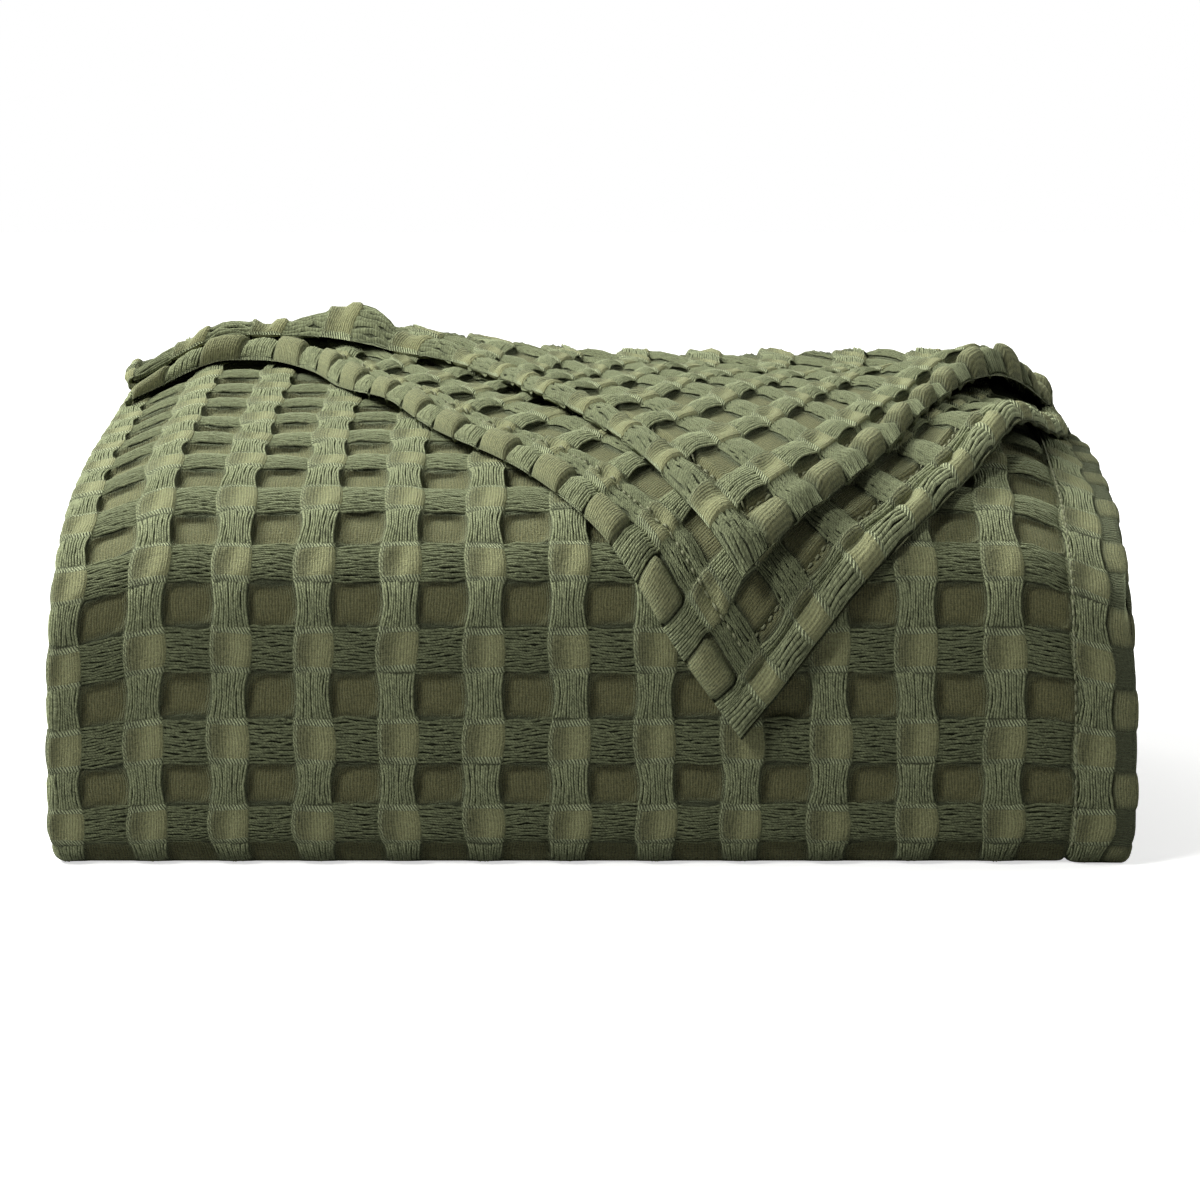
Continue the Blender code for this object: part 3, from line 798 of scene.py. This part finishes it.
# Edges of the plies, from the corner back: x and way along the wrap's outer face
LOWER_END = ((0.053, 0.055), (0.032, 0.084), (0.014, 0.113), (-0.007, 0.141), (-0.030, 0.172),
             (-0.060, 0.212), (-0.083, 0.262), (-0.105, 0.308), (-0.126, 0.357),
             (-0.146, 0.374), (-0.167, 0.373), (-0.187, 0.362), (-0.198, 0.350))
UPPER_END = ((0.053, 0.112), (0.035, 0.137), (0.017, 0.170), (-0.003, 0.212), (-0.020, 0.242),
             (-0.038, 0.303), (-0.068, 0.359), (-0.096, 0.376), (-0.119, 0.388),
             (-0.138, 0.395), (-0.160, 0.396), (-0.184, 0.390), (-0.197, 0.380))
LOWER_SIDE = ((0.053, 0.055), (0.070, 0.076), (0.091, 0.103), (0.118, 0.132), (0.143, 0.165),
              (0.166, 0.207), (0.187, 0.257), (0.195, 0.325), (0.198, REAR_WAY))
UPPER_SIDE = ((0.053, 0.112), (0.075, 0.131), (0.104, 0.163), (0.131, 0.220), (0.152, 0.270),
              (0.177, 0.308), (0.191, 0.356), (0.198, REAR_WAY))
# Where the plies stand off what is under them: x, way, reach, height
LOWER_LIFTS = ((0.160, 0.203, 0.036, 0.0090), (0.054, 0.053, 0.026, 0.0012),
               (-0.132, 0.368, 0.014, 0.0008), (-0.085, 0.265, 0.024, 0.0020),
               (0.000, 0.133, 0.022, 0.0015))
UPPER_LIFTS = ((-0.106, 0.390, 0.029, 0.0155), (0.162, 0.300, 0.042, 0.0122),
               (0.053, 0.111, 0.024, 0.0040), (-0.020, 0.239, 0.024, 0.0020),
               (0.060, 0.153, 0.050, 0.0015))
# Soft troughs and ridges of the flap: from x and way to x and way, half width, depth
FLAP_CREASES = (
    ((-0.088, 0.398), (-0.072, 0.366), 0.007, 0.0060),
    ((-0.090, 0.398), (-0.020, 0.318), 0.016, 0.0032),
    ((-0.020, 0.318), (0.020, 0.232), 0.014, 0.0022),
    ((-0.040, 0.405), (0.030, 0.330), 0.018, -0.0020),
    ((0.060, 0.400), (0.130, 0.330), 0.022, 0.0018),
    ((-0.070, 0.300), (-0.045, 0.235), 0.012, -0.0015),
    ((-0.030, 0.200), (0.010, 0.150), 0.010, 0.0012),
    ((0.080, 0.215), (0.030, 0.290), 0.016, -0.0012))
# The flap is let out wider, and its slack cloth is puffed up more than the wrap's.
FLAP_SIDE_EDGE, FLAP_END_EDGE = 12.56, 0.03        # repeats at its hems' edges
FLAP_ACROSS, FLAP_ALONG = 0.0335, 0.0290           # its weave's repeat
FLAP_PIT, SLACK = 0.0046, 1.7
FLAP_CLEARANCE = 0.0016              # between the flap and the wrap
ROPE = 0.0128                        # width of the rolled edge of a hem
ROPE_RISE, ROPE_DROP = 0.0062, 0.0016              # from the ply's middle to its two faces
ROPE_SUNK, FAT_ROPE_SUNK = 0.0018, 0.0010          # how far its own weight beds it in
SHOWN_STRIP = 0.078                  # how far in from its edges the lower ply shows


def smooth_line(table, count=400):
    """A table's points joined by an eased line, at even distances along it."""
    rows = np.array(table)
    steps = np.concatenate(((0,), np.cumsum(np.linalg.norm(np.diff(rows, axis=0), axis=1))))
    slopes = np.gradient(rows, steps, axis=0)
    at = np.linspace(0, steps[-1], count)
    k = np.clip(np.searchsorted(steps, at, side="right") - 1, 0, len(rows) - 2)
    gap = (steps[k + 1] - steps[k])[:, None]
    t = (at - steps[k])[:, None] / gap
    line = ((2 * t**3 - 3 * t**2 + 1) * rows[k] + (t**3 - 2 * t**2 + t) * gap * slopes[k]
            + (3 * t**2 - 2 * t**3) * rows[k + 1] + (t**3 - t**2) * gap * slopes[k + 1])
    length = np.concatenate(((0,), np.cumsum(np.linalg.norm(np.diff(line, axis=0), axis=1))))
    even = np.linspace(0, length[-1], count)
    return np.stack([np.interp(even, length, line[:, k]) for k in (0, 1)], -1), length[-1]


def before_turn(way):
    """0 at the rear turn, and 1 from 30 mm before it."""
    return ease(REAR_WAY - way, 0.0, 0.030)


def lifted(x, way, lifts):
    return before_turn(way) * sum(high * np.exp(-((x - px) ** 2 + (way - pw) ** 2) / reach ** 2)
                                  for px, pw, reach, high in lifts)


def rolled(edge):
    """A rolled edge takes up more cloth than it is wide."""
    turned = ROPE / 2 * (1 - np.cos(np.pi * np.clip(edge / ROPE, 0, 1)))
    return np.where(edge < ROPE, turned, edge)


def in_metres(across, along):
    """Metres of cloth from the side hem's edge and from the end hem's, at places in repeats."""
    return (FLAP_SIDE_EDGE - across) * FLAP_ACROSS, (along - FLAP_END_EDGE) * FLAP_ALONG


def in_repeats(p, q):
    return FLAP_SIDE_EDGE - p / FLAP_ACROSS, FLAP_END_EDGE + q / FLAP_ALONG


class Ply:
    """One ply of the flap, with the rear turn that it comes from.

    p runs from the side hem, q from the end hem, both in metres of cloth."""

    def __init__(self, end, side, upper, hem):
        self.upper, self.hem = upper, hem
        end_line, self.end_length = smooth_line(end)
        side_line, self.side_length = smooth_line(side)
        self.radius = DOUBLED / 2 + FLAP_CLEARANCE / 2 + (SPACING / 2 if upper else -SPACING / 2)
        self.turn_length = np.pi * self.radius + 0.012
        # the sheet between its four edges, read at even steps of p and q
        a, b = np.linspace(0, 1, 241), np.linspace(0, 1, 260)
        share = np.linspace(0, 1, 400)
        e = np.stack([np.interp(a, share, end_line[:, k]) for k in (0, 1)], -1)[:, None]
        s = np.stack([np.interp(b, share, side_line[:, k]) for k in (0, 1)], -1)[None]
        a, b = a[:, None, None], b[None, :, None]
        left = np.array((-WIDTH / 2, REAR_WAY))
        rear = np.concatenate((WIDTH * (0.5 - a), np.full_like(a, REAR_WAY)), -1)
        left_side = end_line[-1] + (left - end_line[-1]) * b
        flat = ((1 - a) * (1 - b) * end_line[0] + (1 - a) * b * np.array((WIDTH / 2, REAR_WAY))
                + a * (1 - b) * end_line[-1] + a * b * left)
        sheet = (1 - b) * e + b * rear + (1 - a) * s + a * left_side - flat
        steps = np.linalg.norm(np.diff(sheet, axis=1), axis=2)
        lengths = np.concatenate((np.zeros((len(sheet), 1)), np.cumsum(steps, axis=1)), axis=1)
        self.row_ends = lengths[:, -1]
        evenly = np.arange(0, lengths.max() + 0.004, 0.001)
        self.table = np.stack([[np.interp(evenly, way, line[:, k]) for way, line in zip(lengths, sheet)]
                               for k in (0, 1)], -1)

    def flat_place(self, p, q):
        """x and way at p and q, and how far q goes beyond the rear edge."""
        column = np.clip(p / self.end_length, 0, 1) * (len(self.table) - 1)
        i = np.minimum(column.astype(int), len(self.table) - 2)
        row = np.clip(q / 0.001, 0, self.table.shape[1] - 1.001)
        j = row.astype(int)
        f, g = (column - i)[..., None], (row - j)[..., None]
        place = ((1 - f) * ((1 - g) * self.table[i, j] + g * self.table[i, j + 1])
                 + f * ((1 - g) * self.table[i + 1, j] + g * self.table[i + 1, j + 1]))
        f = f[..., 0]
        end = (1 - f) * self.row_ends[i] + f * self.row_ends[i + 1]
        return place[..., 0], place[..., 1], np.clip(q - end, 0, self.turn_length)

    def spot(self, p, q, off):
        """A point off the ply's middle; past the left fold, p goes on round it."""
        x, way, beyond = self.flat_place(rolled(p), rolled(q))
        edge = np.minimum(p, q)
        base = PLY / 2 + FLAP_CLEARANCE + lifted(x, way, LOWER_LIFTS)
        base = base - creased(x, way, FLAP_CREASES) * ease(lifted(x, way, LOWER_LIFTS), 0.0, 0.004)
        bedded = before_turn(way) * (1 - ease(edge, 0.006, 0.020)) * (
            ROPE_SUNK + FAT_ROPE_SUNK * self.thick(p, q))
        stand = 0.0003 * (1 - ease(edge, 0.012, 0.030)) * before_turn(way)
        if self.upper:
            bend = np.clip((p - self.end_length) / (DOUBLED / 2), 0, np.pi)
            lift = base + SPACING / 2 + np.cos(bend) * (SPACING / 2 + off)
            # its own lift dies out towards the rolled edges, which lie on the lower ply
            at_left = ease(p / self.end_length, 0.55, 0.68)
            at_right = ease(q / self.side_length, 0.45, 0.60)
            own = lifted(x, way, UPPER_LIFTS) * (1 - at_left * (1 - ease(q, -0.004, 0.014))) * (
                1 - at_right * (1 - ease(p, -0.012, 0.014))) + stand
            own = own - np.minimum(creased(x, way, FLAP_CREASES), own + 0.0004) * before_turn(way)
            lift = lift + (own - bedded) * np.cos(bend / 2)
            x = x - np.sin(bend) * (SPACING / 2 + off)
        else:
            lift = base + off + stand - bedded
        turn = np.minimum(beyond / self.radius, np.pi)
        straight = np.maximum(beyond - np.pi * self.radius, 0)
        around = lift - FLAP_CLEARANCE / 2
        way_here = np.where(turn > 0, REAR_WAY + around * np.sin(turn) - straight, way)
        lift = np.where(turn > 0, FLAP_CLEARANCE / 2 + around * np.cos(turn), lift)
        return settled(x, *on_face(way_here, lift))

    def thick(self, p, q):
        """Where the rolled edge is fat: 0 to 1."""
        share = p / self.end_length
        thinning = (0.74, 0.84) if self.upper else (0.90, 1.0)
        left = ease(share, 0.60, 0.70) * (1 - ease(share, *thinning))
        right = 0.6 * np.exp(-((q / self.side_length - 0.69) / 0.15) ** 2) if self.upper else 0 * q
        return np.maximum(left * (q <= p), right * (p < q))

    def crest(self, p, q, face):
        """From the ply's middle to its crest: a rolled edge, the hem, its stitches, the field."""
        edge = rolled(np.clip(np.minimum(p, q), 0, 1))
        roll = np.sqrt(np.maximum(1 - ((edge - ROPE / 2) / (ROPE / 2)) ** 2, 0))
        roll = roll * (ROPE_RISE * (1 + 0.5 * self.thick(p, q)) if face > 0 else ROPE_DROP)
        roll = roll * (1 - 0.45 * ease(p / self.end_length, 0.94, 1.02))
        field = PLY / 2 * ease(edge, 0.004, 0.012)
        between = np.sin(np.pi * np.clip((edge - ROPE) / (self.hem - ROPE + 1e-6), 0, 1)) * 0.0008
        pinch = 0.0015 * np.exp(-((edge - self.hem) / STITCHED) ** 2)
        pinch = pinch + 0.0007 * np.exp(-((edge - ROPE) / STITCHED) ** 2)
        ridge = 0.0009 * np.exp(-((edge - self.hem - 0.0032) / 0.0018) ** 2)
        total = (roll ** 4 + field ** 4) ** 0.25 + between * (face > 0)
        total = total + (ridge - pinch) * ease(edge, 0.006, 0.010)
        if self.upper:
            return total
        # the lower ply ends inside the left fold
        return total * np.sqrt(1 - (1 - np.clip((self.end_length - p) / 0.006, 0, 1)) ** 2)

    def off(self, p, q, face, loose=0.0):
        """How far a face lies off the ply's middle."""
        across, along = in_repeats(p, q)
        shift = self.shift(face)
        depth = weave_depth(across + shift, along + shift, self.filled(p, q), FLAP_PIT, loose, SLACK)
        depth = depth * np.where(p > self.end_length, 0.6, 1.0) * ease(np.minimum(p, q), 0.0, 0.002)
        return face * (self.crest(p, q, face) - depth)

    def drifted(self, p, q, off):
        """Points off the ply's middle, which drift as its yarns do."""
        over, up = wobble(*in_repeats(p, q))
        calm = ease(np.minimum(p, q), 0.001, 0.012)
        return self.spot(p - over * calm, q + up * calm, off)

    def shift(self, face):
        """Half a repeat between the faces: a square sunk on one is raised on the other."""
        return 0.0 if (face > 0) == self.upper else 0.5

    def filled(self, p, q):
        return 1 - ease(np.minimum(p, q), ROPE - 0.003, ROPE + 0.003)

    def mesh(self, name):
        """Both faces and the rim between them."""
        rim = np.concatenate((
            np.arange(0, 0.0036, 0.0009), np.arange(0.0050, ROPE, 0.0013),
            self.hem + np.array((-0.0022, -0.0010, 0.0, 0.0010, 0.0020, 0.0030, 0.0040, 0.0052))))
        far, back = in_repeats(self.end_length, self.side_length + self.turn_length)
        p, q = in_metres(weave_lines(far, FLAP_SIDE_EDGE - 0.13, SUNK_ACROSS, True)[::-1],
                         weave_lines(FLAP_END_EDGE + 0.13, back, 1 - SUNK_ALONG, True))
        p, q = (np.unique(np.concatenate((rim, here))) for here in (p, q))
        if self.upper:
            p = np.concatenate((p, self.end_length + DOUBLED / 2 * np.linspace(0, np.pi, 15)[1:]))
        p, q = np.meshgrid(p, q, indexing="ij")
        across, along = in_repeats(p, q)
        edge = np.minimum(p, q)
        _, _, beyond = self.flat_place(p, q)
        loose = (edge > 0.0012) & (beyond < 0.002) & (p < self.end_length)
        if not self.upper:
            loose = loose & (edge < SHOWN_STRIP)
        upper_face = self.off(p, q, 1, loose)
        lower_face = np.minimum(self.off(p, q, -1), upper_face - 0.0008 * ease(edge, 0.0, 0.004))
        top, bottom = (self.drifted(p, q, off).reshape(-1, 3) for off in (upper_face, lower_face))
        columns, rows = across.shape
        number = np.arange(columns * rows).reshape(columns, rows)
        done = beyond >= self.turn_length
        last = np.where(done.any(1), done.argmax(1), rows - 1)
        number = np.take_along_axis(number, np.minimum(np.arange(rows)[None], last[:, None]), 1).ravel()
        triangles = number[grid_triangles(columns, rows)]
        # rows that end at the turn's end have run together there, and what is left is closed
        triangles = triangles[(triangles != np.roll(triangles, 1, axis=1)).all(1)]
        total = columns * rows
        sides = np.concatenate((triangles[:, (0, 1)], triangles[:, (1, 2)], triangles[:, (2, 0)]))
        _, first, uses = np.unique(np.sort(sides, 1), axis=0, return_index=True, return_counts=True)
        rims = sides[first[uses == 1]]
        closing = np.concatenate((np.stack((rims[:, 1], rims[:, 0], rims[:, 0] + total), 1),
                                  np.stack((rims[:, 1], rims[:, 0] + total, rims[:, 1] + total), 1)))
        everything = np.concatenate((triangles, triangles[:, ::-1] + total, closing))
        used, everything = np.unique(everything, return_inverse=True)
        place = np.stack((across, along), -1).reshape(-1, 2)
        place = np.concatenate((place + self.shift(1), place + self.shift(-1)))[used]
        fill = self.filled(p, q).ravel()
        return mesh_piece(name, np.concatenate((top, bottom))[used], everything.reshape(-1, 3), place,
                          loose=np.concatenate((loose.ravel(), 0 * loose.ravel()))[used],
                          filled=np.concatenate((fill, fill))[used])

    def floats(self, name, seed):
        """The loose yarns on the face that shows."""
        shift = self.shift(1)

        def spot(across, along, lift):
            p, q = in_metres(across - shift, along - shift)
            p, q = np.maximum(p, 0.0010), np.maximum(q, 0.035 * FLAP_ALONG)
            return self.drifted(p, q, self.crest(p, q, 1) + lift)

        def depth(across, along):
            p, q = in_metres(across - shift, along - shift)
            deep = weave_depth(across, along, self.filled(p, q), FLAP_PIT, 0.0, SLACK)
            return deep * ease(np.minimum(p, q), 0.0, 0.002)

        def kept(across, along):
            p, q = in_metres(across - shift, along - shift)
            _, _, beyond = self.flat_place(p, q)
            good = (p > 0.0016) & (q > 0.0016) & (p < self.end_length - 0.002) & (beyond <= 0)
            return good if self.upper else good & (np.minimum(p, q) < SHOWN_STRIP)

        return float_yarns(name, np.arange(-1, 14), np.arange(-1, 16), spot, depth, kept, seed)


def flap_ply(name, end, side, upper, hem, seed, **sheet_facts):
    cloth = Ply(end, side, upper, hem)
    piece, yarns_on_it = cloth.mesh(name), cloth.floats(name + "_floats", seed)
    made_of(cotton, piece)
    made_of(loose_yarn, yarns_on_it)

    def on_ply(p, q, rise):
        return cloth.drifted(p, q, cloth.off(p, q, 1) + rise + 0.0007)

    seams = [
        stitches(name + "_side_stitches", lambda way, aside, rise: on_ply(hem + aside, hem + way, rise),
                 cloth.side_length - hem - 0.02),
        stitches(name + "_end_stitches", lambda way, aside, rise: on_ply(hem + way, hem + aside, rise),
                 cloth.end_length - hem - 0.01)]


flap_ply("flap_lower", LOWER_END, LOWER_SIDE, False, 0.0210, 31,
         flat=(0.44, 0.40), area=0.080, rests_on=["wrap"])
flap_ply("flap_upper", UPPER_END, UPPER_SIDE, True, 0.0160, 32,
         flat=(0.44, 0.37), area=0.078, rests_on=["flap_lower"])


# The studio: a plain pale floor that runs out to white, a soft key light from the upper left
# and a camera at the photograph's angle, nine degrees above the floor.

floor_mesh = bpy.data.meshes.new("floor")
floor_mesh.from_pydata([(-3, -2.5, 0), (3, -2.5, 0), (3, 3, 0), (-3, 3, 0)], [], [(0, 1, 2, 3)])
floor = bpy.data.objects.new("floor", floor_mesh)
bpy.context.scene.collection.objects.link(floor)


def seen_as(tree, shown, otherwise, end):
    """Lets the camera see one shader where light meets another."""
    seen = wire(tree, "ShaderNodeLightPath", (), "Is Camera Ray")
    either = wire(tree, "ShaderNodeMixShader", {0: seen, 1: otherwise, 2: shown})
    tree.links.new(either.socket, tree.nodes[end].inputs["Surface"])


paper, tree, shader = new_material("pale_floor", {
    "Roughness": 0.9, "Specular IOR Level": 0.1, "Emission Color": (1.0, 1.0, 1.0, 1.0),
    "Emission Strength": 0.62})
speck = wire(tree, "ShaderNodeTexNoise", {"Scale": 3.0, "Detail": 2.0})
tree.links.new(blend(speck, (0.86, 0.86, 0.86, 1), (0.88, 0.88, 0.88, 1)).socket, shader["Base Color"])
seen_as(tree, Wire(tree.nodes["Principled BSDF"].outputs[0]),
        wire(tree, "ShaderNodeBsdfDiffuse", {"Color": (0.34, 0.34, 0.34, 1.0)}), "Material Output")
floor_mesh.materials.append(paper)


def hang(lamp, place, aim):
    holder = bpy.data.objects.new(lamp.name, lamp)
    holder.location = place
    holder.rotation_euler = (Vector(aim) - Vector(place)).to_track_quat("-Z", "Y").to_euler()
    bpy.context.scene.collection.objects.link(holder)


for name, place, aim, size, power, colour in (
        ("front", (-0.82, -1.00, 1.18), (0.0, -0.05, 0.08), 0.4, 15.4, (1.0, 1.0, 0.97)),
        ("left", (-0.85, 0.10, 0.85), (-0.05, 0.0, 0.12), 0.5, 9.0, (1.0, 1.0, 0.96)),
        ("right", (1.25, 0.45, 0.65), (0.1, 0.0, 0.08), 0.8, 6.5, (1.0, 1.0, 0.97)),
        ("rear", (-0.25, 1.45, 0.80), (0.0, 0.1, 0.08), 0.8, 9.0, (1.0, 1.0, 0.97))):
    lamp = bpy.data.lights.new(name, "AREA")
    lamp.shape, lamp.size, lamp.size_y = "RECTANGLE", size, size
    lamp.energy, lamp.color = power, colour
    hang(lamp, place, aim)
overhead = bpy.data.lights.new("overhead", "SUN")
overhead.energy, overhead.angle = 2.7, math.radians(24)
hang(overhead, (0.0, 0.0, 0.0), (0.68, -0.14, -0.72))

world = bpy.data.worlds.new("studio")
bpy.context.scene.world = world
world.use_nodes = True
tree = world.node_tree
fill_light = tree.nodes["Background"]
fill_light.inputs["Color"].default_value = (1.0, 1.0, 1.0, 1.0)
fill_light.inputs["Strength"].default_value = 0.11
seen_as(tree, wire(tree, "ShaderNodeBackground", {"Color": (1.0, 1.0, 1.0, 1.0), "Strength": 1.0}),
        Wire(fill_light.outputs[0]), "World Output")

VIEW_DISTANCE, VIEW_WIDTH = 1.6, 0.4363         # the camera takes in this width from there
VIEW_AT = (0.0035, -MIDDLE, 0.0995)  # the middle of the view, at the bundle's front
tilt = math.radians(9.0)
lens = bpy.data.cameras.new("camera")
camera = bpy.data.objects.new("camera", lens)
bpy.context.scene.collection.objects.link(camera)
lens.sensor_width = 36.0
lens.lens = lens.sensor_width * VIEW_DISTANCE / VIEW_WIDTH
camera.location = (VIEW_AT[0], VIEW_AT[1] - VIEW_DISTANCE * math.cos(tilt),
                   VIEW_AT[2] + VIEW_DISTANCE * math.sin(tilt))
camera.rotation_euler = (math.pi / 2 - tilt, 0.0, 0.0)
bpy.context.scene.camera = camera
bpy.context.scene.view_settings.view_transform = "Standard"
